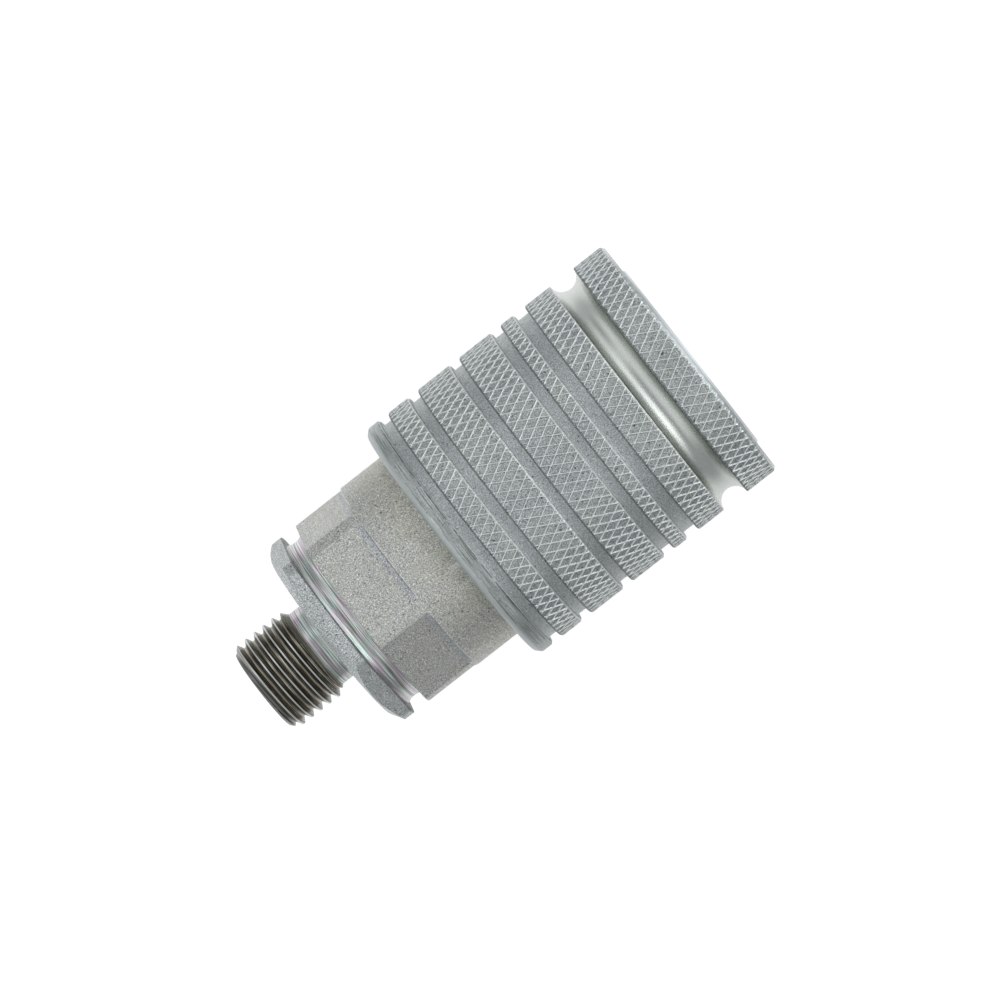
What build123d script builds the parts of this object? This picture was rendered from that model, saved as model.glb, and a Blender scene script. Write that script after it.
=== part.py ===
"""Quick disconnect coupler, socket half: pull-back locking sleeve, eight locking balls and a spring-closed poppet.

The axis of the coupler is X. The origin is the centre of the mating face, where the plug enters,
and +X runs back through the coupler to the port thread. Stations are distances back from the
mating face, radii are distances from the axis, and all sizes are in millimetres.
"""
from build123d import *
from math import cos, pi, radians, sin
import os

# Plug side: the bore that takes a 1/2 in ISO A plug
PLUG_BORE_R = 10.3
BALL_ZONE_R = 10.5
NOSE_R = 14.6
BODY_GUIDE_R = 13.82
MOUTH_CHAMFER = 0.8
GUIDE_LAND_END = 5.2
BALL_ZONE_END = 11.0

# Locking sleeve
SLEEVE_R = 19.0
SLEEVE_FRONT = 0.3
SLEEVE_LENGTH = 40.6
SLEEVE_REAR = SLEEVE_FRONT + SLEEVE_LENGTH
SLEEVE_TRAVEL = 5.5
SLEEVE_RELEASE_R = 14.85
SLEEVE_LAND_R = 13.9
SLEEVE_BORE_R = 15.08
LAND_START = 7.0
LAND_END = 17.5
FRONT_CHAMFER = 0.5
REAR_CHAMFER = 0.7
EDGE_BREAK = 0.25
FINGER_GROOVE_R = 1.95
FINGER_GROOVE_AT = 7.0
GRIP_GROOVE_DEPTH = 1.0
# Each grip groove as (front, back), measured back from the sleeve's front face
GRIP_GROOVES = [(13.35, 15.2), (17.5, 19.05), (24.55, 26.05), (31.55, 33.1), (36.6, 38.1)]

# Locking balls, and the cam cone that lets them out
BALL_COUNT = 8
BALL_R = 2.25
BALL_AT = 8.0
BALL_LOCKED_R = 11.35
BALL_RATIO = 0.211
POCKET_R = BALL_R + 0.07

# Snap ring that stops the sleeve at its forward end
SNAP_WIRE_R = 0.7
SNAP_AT = 3.9
SNAP_RING_R = 14.05
SNAP_GROOVE_R = 13.3
SLEEVE_SHOULDER = SNAP_AT + SNAP_WIRE_R + 0.05

# Body behind the sleeve: cylinder, wrench hexagon, groove, hexagon flange and threaded stub
BODY_R = 15.0
BODY_FRONT = 34.0
HEX_ACROSS_FLATS = 27.0
HEX_TILT = 14.0
HEX_START = 48.15
HEX_END = 56.25
GROOVE_R = 13.2
FLANGE_START = 58.6
FLANGE_END = 61.4
FLANGE_CHAMFER_R = 13.15
FLANGE_CHAMFER = 1.15
NECK_R = 5.925
THREAD_START = 64.05
BODY_END = 73.05
THREAD_R = 6.95
THREAD_CHAMFER = 0.95

# 24 degree cone connection for an 8 mm tube
TUBE_SEAT_R = 4.05
TUBE_MOUTH_R = 5.0
TUBE_SEAT_DEPTH = 7.0
TUBE_CONE_LENGTH = 4.47
FLOW_R = 3.0

# Joint between the socket body and the body behind it
PILOT_R = 12.9
PILOT_END = 38.5
TAIL_THREAD_R = 12.0
SOCKET_END = 47.5
CHAMBER_END = 48.0
CAVITY_R = 9.9
CAVITY_END = 52.5
JOINT_GAP = 0.03

# Seals
PLUG_GLAND = (12.6, 16.6)
PLUG_GLAND_R = 12.45
PLUG_RING_SECTION_R = 1.3
BODY_GLAND = (34.9, 37.7)
BODY_GLAND_R = 11.45
BACKUP_WIDTH = 1.2
BODY_BACKUP_WIDTH = 0.85

# Poppet valve
THROAT_R = 7.0
THROAT_START = 21.9
SEAT_START = 23.6
CHAMBER_R = 9.3
SEAT_END = SEAT_START + CHAMBER_R - THROAT_R
HEAD_R = 8.2
HEAD_FRONT = 24.5
HEAD_BACK = 27.0
SPIGOT_R = 4.2
POPPET_NOSE = 21.2
STEM_R = 2.6
STEM_END = 46.8
SPRING_BOSS_R = 4.9
POPPET_TRAVEL = 6.0
GUIDE_FRONT = 41.8
GUIDE_BACK = 45.1
GUIDE_BORE_R = 9.9
CIRCLIP_THICKNESS = 1.1
CIRCLIP_GROOVE_R = 10.5

# Springs
SLEEVE_SPRING_R = 14.05
SLEEVE_SPRING_WIRE_R = 0.8
SLEEVE_SPRING_TURNS = 5.0
POPPET_SPRING_R = 5.9
POPPET_SPRING_WIRE_R = 0.65
POPPET_SPRING_TURNS = 5.5

FULL_TURN = 360.0


def outline(*points):
    """Fill the outline through (station, radius) points, in the sketch being built."""
    Polygon(*points, align=None)


def finish(piece, name):
    """Label a finished piece and write it to its own file."""
    piece.part.label = name
    export_step(piece.part, f"parts/{name}.step")


def around_axis(angle):
    """A plane through the axis, turned about it, for a profile drawn as (station, radius)."""
    return Plane.XY.rotated((angle, 0, 0))


def ball_direction(number):
    """The outward direction of one ball, as its (y, z) parts."""
    angle = 2 * pi * number / BALL_COUNT
    return cos(angle), sin(angle)


os.makedirs("parts", exist_ok=True)

# Tail body: one turned piece with the wrench hexagon, the hexagon flange and the port thread
with BuildPart() as tail_body:
    with BuildSketch(Plane.XY):
        outline(
            (BODY_FRONT, PILOT_R + JOINT_GAP + 0.25),
            (BODY_FRONT, BODY_R - EDGE_BREAK),
            (BODY_FRONT + EDGE_BREAK, BODY_R),
            (HEX_END, BODY_R),
            (HEX_END, GROOVE_R),
            (FLANGE_START, GROOVE_R),
            (FLANGE_START, BODY_R),
            (FLANGE_END - FLANGE_CHAMFER, BODY_R),
            (FLANGE_END, FLANGE_CHAMFER_R),
            (FLANGE_END, NECK_R),
            (THREAD_START, NECK_R),
            (THREAD_START + THREAD_R - NECK_R, THREAD_R),
            (BODY_END - THREAD_CHAMFER, THREAD_R),
            (BODY_END, THREAD_R - THREAD_CHAMFER),
            (BODY_END, TUBE_MOUTH_R),
            (BODY_END - TUBE_CONE_LENGTH, TUBE_SEAT_R),
            (BODY_END - TUBE_SEAT_DEPTH, TUBE_SEAT_R),
            (BODY_END - TUBE_SEAT_DEPTH, FLOW_R),
            (CAVITY_END + CAVITY_R - FLOW_R, FLOW_R),
            (CAVITY_END, CAVITY_R),
            (CHAMBER_END, CAVITY_R),
            (CHAMBER_END, TAIL_THREAD_R + JOINT_GAP),
            (PILOT_END, TAIL_THREAD_R + JOINT_GAP),
            (PILOT_END, PILOT_R + JOINT_GAP),
            (BODY_FRONT + 0.25, PILOT_R + JOINT_GAP),
        )
    revolve(axis=Axis.X)
    # The six flats run from the shoulder to the groove, and on through the flange
    for start, end in [(HEX_START, HEX_END), (FLANGE_START, FLANGE_END)]:
        with BuildSketch(Plane.YZ.offset(start)):
            Circle(BODY_R + 1)
            RegularPolygon(
                radius=HEX_ACROSS_FLATS / 2,
                side_count=6,
                major_radius=False,
                rotation=HEX_TILT,
                mode=Mode.SUBTRACT,
            )
        extrude(amount=end - start, mode=Mode.SUBTRACT)
finish(tail_body, "tail_body")

# Socket body: plug bore, ball pockets, seal glands, valve seat and poppet chamber
with BuildPart() as socket_body:
    with BuildSketch(Plane.XY):
        outline(
            (0, PLUG_BORE_R + MOUTH_CHAMFER),
            (0, NOSE_R - EDGE_BREAK),
            (EDGE_BREAK, NOSE_R),
            (SNAP_AT - SNAP_WIRE_R, NOSE_R),
            (SNAP_AT - SNAP_WIRE_R, SNAP_GROOVE_R),
            (SNAP_AT + SNAP_WIRE_R, SNAP_GROOVE_R),
            (SNAP_AT + SNAP_WIRE_R, BODY_GUIDE_R),
            (LAND_END - 0.1, BODY_GUIDE_R),
            (LAND_END - 0.1, PILOT_R),
            (BODY_GLAND[0], PILOT_R),
            (BODY_GLAND[0], BODY_GLAND_R),
            (BODY_GLAND[1], BODY_GLAND_R),
            (BODY_GLAND[1], PILOT_R),
            (PILOT_END, PILOT_R),
            (PILOT_END, TAIL_THREAD_R),
            (SOCKET_END - 0.5, TAIL_THREAD_R),
            (SOCKET_END, TAIL_THREAD_R - 0.5),
            (SOCKET_END, GUIDE_BORE_R),
            (GUIDE_BACK + CIRCLIP_THICKNESS + 0.1, GUIDE_BORE_R),
            (GUIDE_BACK + CIRCLIP_THICKNESS + 0.1, CIRCLIP_GROOVE_R),
            (GUIDE_BACK, CIRCLIP_GROOVE_R),
            (GUIDE_BACK, GUIDE_BORE_R),
            (GUIDE_FRONT, GUIDE_BORE_R),
            (GUIDE_FRONT, CHAMBER_R),
            (SEAT_END, CHAMBER_R),
            (SEAT_START, THROAT_R),
            (THROAT_START, THROAT_R),
            (THROAT_START - 1.9, PLUG_BORE_R),
            (PLUG_GLAND[1], PLUG_BORE_R),
            (PLUG_GLAND[1], PLUG_GLAND_R),
            (PLUG_GLAND[0], PLUG_GLAND_R),
            (PLUG_GLAND[0], PLUG_BORE_R),
            (BALL_ZONE_END, PLUG_BORE_R),
            (BALL_ZONE_END, BALL_ZONE_R),
            (GUIDE_LAND_END, BALL_ZONE_R),
            (GUIDE_LAND_END, PLUG_BORE_R),
            (MOUTH_CHAMFER, PLUG_BORE_R),
        )
    revolve(axis=Axis.X)
    # Each pocket is drilled from outside and ends in a round seat that keeps the ball from falling through
    for number in range(BALL_COUNT):
        y, z = ball_direction(number)
        seat = Plane(origin=(BALL_AT, BALL_LOCKED_R * y, BALL_LOCKED_R * z), x_dir=(1, 0, 0), z_dir=(0, y, z))
        with BuildSketch(seat):
            Circle(POCKET_R)
        extrude(amount=NOSE_R - BALL_LOCKED_R, mode=Mode.SUBTRACT)
        with Locations(seat):
            Sphere(POCKET_R, mode=Mode.SUBTRACT)
finish(socket_body, "socket_body")

# Locking sleeve: release bore, cam cone, locking land and spring bore inside; grip bands outside
with BuildPart() as locking_sleeve:
    with BuildSketch(Plane.XY):
        outline(
            (SLEEVE_FRONT, SLEEVE_RELEASE_R + 0.3),
            (SLEEVE_FRONT, SLEEVE_R - FRONT_CHAMFER),
            (SLEEVE_FRONT + FRONT_CHAMFER, SLEEVE_R),
            (SLEEVE_REAR - REAR_CHAMFER, SLEEVE_R),
            (SLEEVE_REAR, SLEEVE_R - REAR_CHAMFER),
            (SLEEVE_REAR, SLEEVE_BORE_R + EDGE_BREAK),
            (SLEEVE_REAR - EDGE_BREAK, SLEEVE_BORE_R),
            (LAND_END, SLEEVE_BORE_R),
            (LAND_END, SLEEVE_LAND_R),
            (LAND_START, SLEEVE_LAND_R),
            (SLEEVE_SHOULDER, SLEEVE_LAND_R + BALL_RATIO * (LAND_START - SLEEVE_SHOULDER)),
            (SLEEVE_SHOULDER, SLEEVE_RELEASE_R),
            (SLEEVE_FRONT + 0.3, SLEEVE_RELEASE_R),
        )
    revolve(axis=Axis.X)
    # Grip grooves, each with its two edges broken
    for front, back in GRIP_GROOVES:
        start = SLEEVE_FRONT + front
        end = SLEEVE_FRONT + back
        with BuildSketch(Plane.XY):
            outline(
                (start, SLEEVE_R - GRIP_GROOVE_DEPTH),
                (start, SLEEVE_R - EDGE_BREAK),
                (start - EDGE_BREAK, SLEEVE_R),
                (start - EDGE_BREAK, SLEEVE_R + 1),
                (end + EDGE_BREAK, SLEEVE_R + 1),
                (end + EDGE_BREAK, SLEEVE_R),
                (end, SLEEVE_R - EDGE_BREAK),
                (end, SLEEVE_R - GRIP_GROOVE_DEPTH),
            )
        revolve(axis=Axis.X, mode=Mode.SUBTRACT)
    # Half-round finger groove behind the front collar
    with BuildSketch(Plane.XY):
        with Locations((SLEEVE_FRONT + FINGER_GROOVE_AT, SLEEVE_R)):
            Circle(FINGER_GROOVE_R)
    revolve(axis=Axis.X, mode=Mode.SUBTRACT)
finish(locking_sleeve, "locking_sleeve")

# Snap ring: round wire with a small gap, in the groove behind the nose
SNAP_GAP_ANGLE = 6.0
with BuildPart() as sleeve_snap_ring:
    with BuildSketch(around_axis(-90 + SNAP_GAP_ANGLE / 2)):
        with Locations((SNAP_AT, SNAP_RING_R)):
            Circle(SNAP_WIRE_R - 0.02)
    revolve(axis=Axis.X, revolution_arc=FULL_TURN - SNAP_GAP_ANGLE)
finish(sleeve_snap_ring, "sleeve_snap_ring")

# Locking balls, each in its pocket and resting inwards where it holds the plug
for number in range(BALL_COUNT):
    y, z = ball_direction(number)
    with BuildPart() as ball:
        with Locations((BALL_AT, BALL_LOCKED_R * y, BALL_LOCKED_R * z)):
            Sphere(BALL_R)
    finish(ball, f"ball_{number + 1}")


def coil_spring(front, back, coil_r, wire_r, turns):
    """A compression spring that reaches from one seat to the other."""
    height = back - front - 2 * wire_r
    with BuildPart() as spring:
        with BuildLine() as path:
            Helix(
                pitch=height / turns,
                height=height,
                radius=coil_r,
                center=(front + wire_r, 0, 0),
                direction=(1, 0, 0),
            )
        with BuildSketch(Plane(origin=path.line @ 0, z_dir=path.line % 0)):
            Circle(wire_r)
        sweep(is_frenet=True)
    return spring


sleeve_spring = coil_spring(
    LAND_END, BODY_FRONT, SLEEVE_SPRING_R, SLEEVE_SPRING_WIRE_R, SLEEVE_SPRING_TURNS
)
finish(sleeve_spring, "sleeve_spring")

poppet_spring = coil_spring(
    HEAD_BACK, GUIDE_FRONT, POPPET_SPRING_R, POPPET_SPRING_WIRE_R, POPPET_SPRING_TURNS
)
finish(poppet_spring, "poppet_spring")

# Plug seal: a back-up ring on the mouth side and an O-ring behind it, in one gland
with BuildPart() as interface_backup_ring:
    with BuildSketch(Plane.XY):
        start = PLUG_GLAND[0] + 0.05
        outline(
            (start, PLUG_BORE_R + 0.05),
            (start, PLUG_GLAND_R - 0.03),
            (start + BACKUP_WIDTH, PLUG_GLAND_R - 0.03),
            (start + BACKUP_WIDTH, PLUG_BORE_R + 0.05),
        )
    revolve(axis=Axis.X)
finish(interface_backup_ring, "interface_backup_ring")

with BuildPart() as interface_o_ring:
    with BuildSketch(Plane.XY):
        with Locations((PLUG_GLAND[1] - PLUG_RING_SECTION_R - 0.04, PLUG_GLAND_R - PLUG_RING_SECTION_R - 0.03)):
            Circle(PLUG_RING_SECTION_R)
    revolve(axis=Axis.X)
finish(interface_o_ring, "interface_o_ring")

# Body seal between the socket body and the tail body, squeezed to the height of its gland
with BuildPart() as body_backup_ring:
    with BuildSketch(Plane.XY):
        start = BODY_GLAND[0] + 0.05
        outline(
            (start, BODY_GLAND_R + 0.03),
            (start, PILOT_R),
            (start + BODY_BACKUP_WIDTH, PILOT_R),
            (start + BODY_BACKUP_WIDTH, BODY_GLAND_R + 0.03),
        )
    revolve(axis=Axis.X)
finish(body_backup_ring, "body_backup_ring")

with BuildPart() as body_o_ring:
    with BuildSketch(Plane.XY):
        gland_middle = (BODY_GLAND_R + PILOT_R + JOINT_GAP) / 2
        with Locations((BODY_GLAND[1] - 0.95, gland_middle)):
            Ellipse(0.88, 0.71)
    revolve(axis=Axis.X)
finish(body_o_ring, "body_o_ring")

# Poppet: spigot for the seal, conical head, spring boss and guided stem
SEAT_GAP = 0.14
with BuildPart() as poppet:
    with BuildSketch(Plane.XY):
        outline(
            (POPPET_NOSE, 0),
            (POPPET_NOSE, SPIGOT_R - 0.3),
            (POPPET_NOSE + 0.3, SPIGOT_R),
            (HEAD_FRONT, SPIGOT_R),
            (HEAD_FRONT, THROAT_R + HEAD_FRONT - SEAT_START - SEAT_GAP),
            (SEAT_START + HEAD_R - THROAT_R + SEAT_GAP, HEAD_R),
            (HEAD_BACK, HEAD_R),
            (HEAD_BACK, SPRING_BOSS_R),
            (HEAD_BACK + 1.6, SPRING_BOSS_R - 0.4),
            (HEAD_BACK + 3.8, STEM_R),
            (STEM_END - 0.4, STEM_R),
            (STEM_END, STEM_R - 0.4),
            (STEM_END, 0),
        )
    revolve(axis=Axis.X)
finish(poppet, "poppet")

# Moulded seal ring on the spigot, its cone facing the valve seat
SEAL_FRONT = 23.2
with BuildPart() as poppet_seal:
    with BuildSketch(Plane.XY):
        outline(
            (SEAL_FRONT, SPIGOT_R + 0.02),
            (SEAL_FRONT, 6.55),
            (HEAD_FRONT, THROAT_R + HEAD_FRONT - SEAT_START - 0.06),
            (HEAD_FRONT, SPIGOT_R + 0.02),
        )
    revolve(axis=Axis.X)
finish(poppet_seal, "poppet_seal")

# Retaining cap pressed on the spigot in front of the seal
with BuildPart() as poppet_seal_retainer:
    with BuildSketch(Plane.XY):
        outline(
            (POPPET_NOSE, SPIGOT_R + 0.02),
            (POPPET_NOSE, 5.0),
            (POPPET_NOSE + 0.5, 5.5),
            (SEAL_FRONT - 0.8, 5.5),
            (SEAL_FRONT - 0.8, 6.3),
            (SEAL_FRONT, 6.3),
            (SEAL_FRONT, SPIGOT_R + 0.02),
        )
    revolve(axis=Axis.X)
finish(poppet_seal_retainer, "poppet_seal_retainer")

# Valve guide: a hub for the stem, held in the chamber by a ring on four arms
GUIDE_ARM_COUNT = 4
with BuildPart() as valve_guide:
    with BuildSketch(Plane.YZ.offset(GUIDE_FRONT)):
        Circle(GUIDE_BORE_R - JOINT_GAP)
        Circle(GUIDE_BORE_R - 1.5, mode=Mode.SUBTRACT)
    extrude(amount=GUIDE_BACK - GUIDE_FRONT)
    with BuildSketch(Plane.YZ.offset(GUIDE_FRONT)):
        with PolarLocations(0, GUIDE_ARM_COUNT, start_angle=45):
            with Locations((GUIDE_BORE_R / 2, 0)):
                Rectangle(GUIDE_BORE_R - 2, 2.4)
    extrude(amount=2.2)
    with BuildSketch(Plane.YZ.offset(GUIDE_FRONT)):
        Circle(4.3)
    extrude(amount=GUIDE_BACK - GUIDE_FRONT)
    with BuildSketch(Plane.YZ.offset(GUIDE_FRONT)):
        Circle(SPRING_BOSS_R)
    extrude(amount=-1.6)
    with BuildSketch(Plane.YZ.offset(GUIDE_BACK)):
        Circle(STEM_R + 0.08)
    extrude(amount=-6, mode=Mode.SUBTRACT)
finish(valve_guide, "valve_guide")

# Retaining ring behind the valve guide, open at one side so that it can be squeezed into its groove
CIRCLIP_GAP_ANGLE = 40.0
with BuildPart() as guide_retaining_ring:
    with BuildSketch(around_axis(90 + CIRCLIP_GAP_ANGLE / 2)):
        start = GUIDE_BACK + 0.05
        outline(
            (start, 8.9),
            (start, CIRCLIP_GROOVE_R - 0.05),
            (start + CIRCLIP_THICKNESS, CIRCLIP_GROOVE_R - 0.05),
            (start + CIRCLIP_THICKNESS, 8.9),
        )
    revolve(axis=Axis.X, revolution_arc=FULL_TURN - CIRCLIP_GAP_ANGLE)
finish(guide_retaining_ring, "guide_retaining_ring")
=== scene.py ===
"""Looks for the quick disconnect coupler: knurled sleeve, threaded tail, springs and plated finishes.

Row frame: the origin is the centre of the mating face, +X runs back along the axis to the port
thread, and +Z is up. Geometry is worked out in millimetres and written to Blender in metres.
"""
from math import cos, degrees, pi, radians, sin, tan

import bmesh
import bpy
import numpy as np
from mathutils import Matrix, Vector


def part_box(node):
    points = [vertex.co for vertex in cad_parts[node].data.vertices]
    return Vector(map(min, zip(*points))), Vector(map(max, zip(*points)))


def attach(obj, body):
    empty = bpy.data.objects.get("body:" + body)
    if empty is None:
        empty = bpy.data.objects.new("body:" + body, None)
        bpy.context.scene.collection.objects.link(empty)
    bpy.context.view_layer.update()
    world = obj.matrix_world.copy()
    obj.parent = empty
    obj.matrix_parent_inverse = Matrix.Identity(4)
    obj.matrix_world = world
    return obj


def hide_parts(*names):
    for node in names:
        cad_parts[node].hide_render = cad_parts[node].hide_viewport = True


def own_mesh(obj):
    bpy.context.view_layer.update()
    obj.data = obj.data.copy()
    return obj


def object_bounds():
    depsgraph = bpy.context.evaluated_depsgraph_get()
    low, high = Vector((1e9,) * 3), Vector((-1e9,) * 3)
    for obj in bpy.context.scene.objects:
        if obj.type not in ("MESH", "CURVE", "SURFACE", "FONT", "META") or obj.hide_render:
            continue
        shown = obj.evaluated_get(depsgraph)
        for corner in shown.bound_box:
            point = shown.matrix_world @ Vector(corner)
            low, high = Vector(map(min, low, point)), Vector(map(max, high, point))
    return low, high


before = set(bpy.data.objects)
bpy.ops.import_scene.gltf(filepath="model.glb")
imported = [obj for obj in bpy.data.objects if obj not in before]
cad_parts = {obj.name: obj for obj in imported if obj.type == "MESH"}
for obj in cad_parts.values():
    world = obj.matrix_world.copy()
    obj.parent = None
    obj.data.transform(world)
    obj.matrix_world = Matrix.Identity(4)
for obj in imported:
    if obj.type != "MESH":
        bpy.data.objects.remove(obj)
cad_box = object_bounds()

MM = 0.001
TURN = 2 * pi


# ---------------------------------------------------------------- sizes, in millimetres

def box_mm(node):
    """Lowest and highest corner of a CAD node, in millimetres."""
    low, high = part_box(node)
    return low / MM, high / MM


sleeve_low, sleeve_high = box_mm("locking_sleeve")
SLEEVE_FRONT = sleeve_low.x
SLEEVE_REAR = sleeve_high.x
SLEEVE_R = sleeve_high.y

# Inside of the sleeve
RELEASE_R = 14.85
RELEASE_CHAMFER = 0.3
LAND_R = 13.9
SPRING_BORE_R = 15.08
LAND_START = 7.0
LAND_END = 17.5
SHOULDER = 4.65
SHOULDER_R = 14.396

# Outside of the sleeve, measured back from its front face
FRONT_CHAMFER = 0.5
REAR_CHAMFER = 0.7
EDGE_BREAK = 0.25
RIM_BREAK = 0.15
# The rear chamfer is eased at both ends: this far along the surface it leaves, and this far into it
EASE_ALONG = 0.15
EASE_IN = 0.05
GRIP_DEPTH = 1.0
GRIP_FILLET = 0.12
GRIP_FILLET_STEPS = 3
GRIP_GROOVES = [(13.35, 15.2), (17.5, 19.05), (24.55, 26.05), (31.55, 33.1), (36.6, 38.1)]
FINGER_AT = 7.0
FINGER_R = 1.95
FINGER_STEPS = 28
FLANGE_FRONT = SLEEVE_FRONT + GRIP_GROOVES[-1][1]

# Diamond knurl: thin raised lines, crossing, with shallow flat-bottomed diamonds between them
KNURL_LINES = 79
KNURL_ANGLE = radians(30.3)
KNURL_DEPTH = 0.13
KNURL_TOP = 0.07
KNURL_SLOPE = 0.12
CELL_COLUMNS = 4

# Tail body
tail_low, tail_high = box_mm("tail_body")
BODY_FRONT = tail_low.x
BODY_END = tail_high.x
BODY_R = 15.0
HEX_HALF = 13.5
HEX_TURN = 44.0
HEX_START = 48.15
HEX_END = 56.25
HEX_FILLET = 0.8
HEX_FILLET_STEPS = 6
HEX_EDGE = 0.07
FLAT_STEPS = 34
CORNER_STEPS = 7
# The body's plating is yellowish from the sleeve to this station
YELLOW_END = 43.5
GROOVE_R = 13.2
GROOVE_HOLLOW = 0.15
GROOVE_FLOOR_R = 2.6
GROOVE_STEPS = 12
FLANGE_START = 58.6
FLANGE_END = 61.4
FLANGE_FACE_R = 13.15
FLANGE_CHAMFER = 1.15
# The edge between the flange's chamfer and its rear face is broken by this much in radius and station
FACE_BREAK_R = 0.05
FACE_BREAK_X = 0.03
FLAT_BREAK = 0.11
NECK_R = 5.925
NECK_FILLET = 0.6
NECK_FILLET_STEPS = 6
THREAD_START = 64.05
THREAD_R = 6.95
THREAD_ROOT_R = 6.08
THREAD_PITCH = 1.5
# Half the crest and half the root, as shares of the pitch
THREAD_CREST = 0.065
THREAD_ROOT = 0.10
FLANK_STEPS = 7
THREAD_CHAMFER = 0.95
PILOT_R = 12.93
PILOT_END = 38.5
TAIL_THREAD_R = 12.03
CHAMBER_END = 48.0
CAVITY_R = 9.9
CAVITY_END = 52.5
FLOW_R = 3.0
TUBE_R = 4.05
TUBE_MOUTH_R = 5.0
TUBE_DEPTH = 7.0
TUBE_CONE = 4.47


# ---------------------------------------------------------------- mesh helpers

def new_object(name, verts, faces, sharp=radians(32), weld=0.0004):
    """A welded, outward-facing mesh object from millimetre vertices, smooth except over sharp edges."""
    mesh = bpy.data.meshes.new(name)
    mesh.from_pydata([tuple(v) for v in verts], [], faces)
    bm = bmesh.new()
    bm.from_mesh(mesh)
    bmesh.ops.remove_doubles(bm, verts=bm.verts, dist=weld)
    bmesh.ops.dissolve_degenerate(bm, edges=bm.edges, dist=weld)
    bmesh.ops.recalc_face_normals(bm, faces=bm.faces)
    bmesh.ops.scale(bm, verts=bm.verts, vec=(MM, MM, MM))
    for edge in bm.edges:
        if len(edge.link_faces) == 2 and edge.calc_face_angle(0) > sharp:
            edge.smooth = False
    for face in bm.faces:
        face.smooth = True
    bm.to_mesh(mesh)
    bm.free()
    obj = bpy.data.objects.new(name, mesh)
    bpy.context.scene.collection.objects.link(obj)
    return obj


def skin(rings, closed=True):
    """Vertices and quads over a stack of rings. Each ring is (stations, radii), one of each per angle."""
    count = len(rings[0][0])
    verts = []
    for stations, radii in rings:
        verts.extend(np.column_stack([stations, radii * COS, radii * SIN]))
    faces = []
    last = len(rings) if closed else len(rings) - 1
    for i in range(last):
        a = i * count
        b = (i + 1) % len(rings) * count
        for j in range(count):
            k = (j + 1) % count
            faces.append((a + j, b + j, b + k, a + k))
    return verts, faces


def arc(x, r, radius, start, end, steps):
    """Points on a circle round (x, r), from one angle to another in degrees, 0 along +X and 90 outwards."""
    angles = [radians(start + (end - start) * k / steps) for k in range(steps + 1)]
    return [(x + radius * cos(a), r + radius * sin(a)) for a in angles]


# ---------------------------------------------------------------- the sleeve

def sleeve_outline():
    """The sleeve's section as (station, radius, knurled): knurled marks the stretch that starts there."""
    grain_r = SLEEVE_R - KNURL_DEPTH
    points = [(SLEEVE_FRONT, SLEEVE_R - FRONT_CHAMFER, True)]

    def crown(start, end):
        points.append((start - KNURL_DEPTH, grain_r, True))
        points.append((start, SLEEVE_R, True))
        points.append((end, SLEEVE_R, True))
        points.append((end + KNURL_DEPTH, grain_r, True))

    finger = SLEEVE_FRONT + FINGER_AT
    rim_r = SLEEVE_R - RIM_BREAK
    rim_angle = degrees(np.arcsin(RIM_BREAK / FINGER_R))
    crown(SLEEVE_FRONT + FRONT_CHAMFER, finger - FINGER_R - RIM_BREAK)
    for x, r in arc(finger, SLEEVE_R, FINGER_R, 180 + rim_angle, 360 - rim_angle, FINGER_STEPS):
        points.append((x, r, False))
    points[-1] = (points[-1][0], rim_r, True)
    band_start = finger + FINGER_R + RIM_BREAK
    for front, back in GRIP_GROOVES:
        start = SLEEVE_FRONT + front
        end = SLEEVE_FRONT + back
        crown(band_start, start - EDGE_BREAK)
        points.append((start, SLEEVE_R - EDGE_BREAK, False))
        centre_r = SLEEVE_R - GRIP_DEPTH + GRIP_FILLET
        floor = arc(start + GRIP_FILLET, centre_r, GRIP_FILLET, 180, 270, GRIP_FILLET_STEPS)
        floor += arc(end - GRIP_FILLET, centre_r, GRIP_FILLET, 270, 360, GRIP_FILLET_STEPS)
        points.extend([(x, r, False) for x, r in floor])
        points.append((end, SLEEVE_R - EDGE_BREAK, True))
        band_start = end + EDGE_BREAK
    # The rear flange is plain
    points[-1] = (points[-1][0], points[-1][1], False)
    points.append((band_start, SLEEVE_R, False))
    points.append((SLEEVE_REAR - REAR_CHAMFER - EASE_ALONG, SLEEVE_R, False))
    points.append((SLEEVE_REAR - REAR_CHAMFER, SLEEVE_R - EASE_IN, False))
    points.append((SLEEVE_REAR - EASE_IN, SLEEVE_R - REAR_CHAMFER, False))
    points.append((SLEEVE_REAR, SLEEVE_R - REAR_CHAMFER - EASE_ALONG, False))
    inside = [
        (SLEEVE_REAR, SPRING_BORE_R + EDGE_BREAK),
        (SLEEVE_REAR - EDGE_BREAK, SPRING_BORE_R),
        (LAND_END, SPRING_BORE_R),
        (LAND_END, LAND_R),
        (LAND_START, LAND_R),
        (SHOULDER, SHOULDER_R),
        (SHOULDER, RELEASE_R),
        (SLEEVE_FRONT + RELEASE_CHAMFER, RELEASE_R),
        (SLEEVE_FRONT, RELEASE_R + RELEASE_CHAMFER),
    ]
    points.extend([(x, r, False) for x, r in inside])
    return points


def knurl_depth(x, y, pitch):
    """Depth below the crest of the nearest raised line, at a point of the unrolled sleeve."""
    nearest = pitch
    for lean in (1, -1):
        lines = (y - lean * x * tan(KNURL_ANGLE)) / pitch
        nearest = min(nearest, abs(lines - round(lines)) * pitch * cos(KNURL_ANGLE))
    return KNURL_DEPTH * min(1.0, max(0.0, (nearest - KNURL_TOP / 2) / KNURL_SLOPE))


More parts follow.
